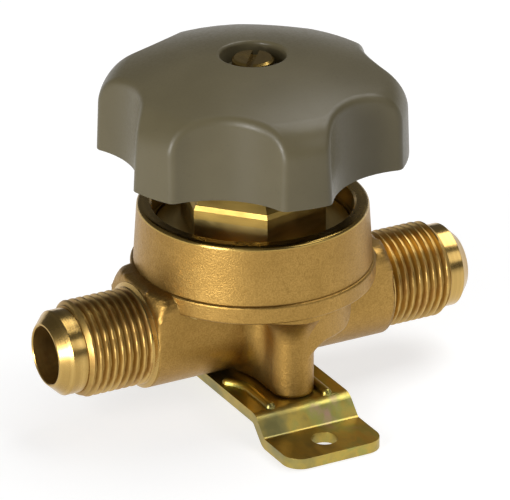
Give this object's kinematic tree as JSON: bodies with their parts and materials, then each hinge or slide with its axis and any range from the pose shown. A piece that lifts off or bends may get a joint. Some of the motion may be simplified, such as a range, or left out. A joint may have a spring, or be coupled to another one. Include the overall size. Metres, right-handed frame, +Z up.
{
  "type": "diaphragm shut-off valve",
  "caption": "Brass refrigeration shut-off valve with flare ends, a scalloped hand wheel and a steel mounting bracket.",
  "frame": {"origin": "on the floor, under the middle of the ports and half-way between the bracket's two feet", "axes": "+X along the ports from inlet to outlet, +Y to the back along the bracket, +Z up along the spindle"},
  "size_m": [0.105, 0.0852, 0.082],
  "materials": {
    "forged_brass": "satin, fine blasted grain",
    "turned_brass": "turned, semi-bright",
    "wheel_plastic": "moulded, faint sheen",
    "zinc_plated_steel": "yellow passivated zinc",
    "stainless_sheet": "cold rolled",
    "spring_steel": "drawn wire",
    "hardened_steel": "polished",
    "dust_ring_rubber": "matt black",
    "seal_polymer": "white, smooth"
  },
  "bodies": {
    "housing": {"valve_body": "forged_brass", "bonnet": "turned_brass", "clamp_ring": "turned_brass", "dust_ring": "dust_ring_rubber", "lower_diaphragm": "stainless_sheet", "middle_diaphragm": "stainless_sheet", "upper_diaphragm": "stainless_sheet", "opening_spring": "spring_steel", "spring_seat": "stainless_sheet", "mounting_bracket": "zinc_plated_steel", "bracket_screws": "zinc_plated_steel", "spring_washers": "zinc_plated_steel"},
    "thrust": {"pressure_shoe": "turned_brass", "thrust_ball": "hardened_steel"},
    "wheel": {"spindle": "turned_brass", "handwheel": "wheel_plastic", "wheel_screw": "turned_brass"},
    "disc": {"valve_disc": "turned_brass", "seal_ring": "seal_polymer", "seal_retainer": "turned_brass", "retainer_screw": "turned_brass"}
  },
  "joints": [
    {"name": "stem_lift", "type": "slide", "parent": "housing", "child": "thrust", "axis": [0, 0, 1], "range_m": [-0.00375, 0], "deforming": ["lower_diaphragm", "middle_diaphragm", "upper_diaphragm"]},
    {"name": "wheel_turn", "type": "hinge", "parent": "thrust", "child": "wheel", "pos_m": [0, 0, 0.06], "axis": [0, 0, 1], "range_deg": [-900, 0]},
    {"name": "disc_lift", "type": "slide", "parent": "housing", "child": "disc", "axis": [0, 0, 1], "range_m": [-0.00375, 0], "deforming": ["opening_spring"]}
  ],
  "couplings": [
    {"joint": "stem_lift", "follows": "wheel_turn", "m_per_rad": 0.00023873},
    {"joint": "disc_lift", "follows": "wheel_turn", "m_per_rad": 0.00023873}
  ]
}
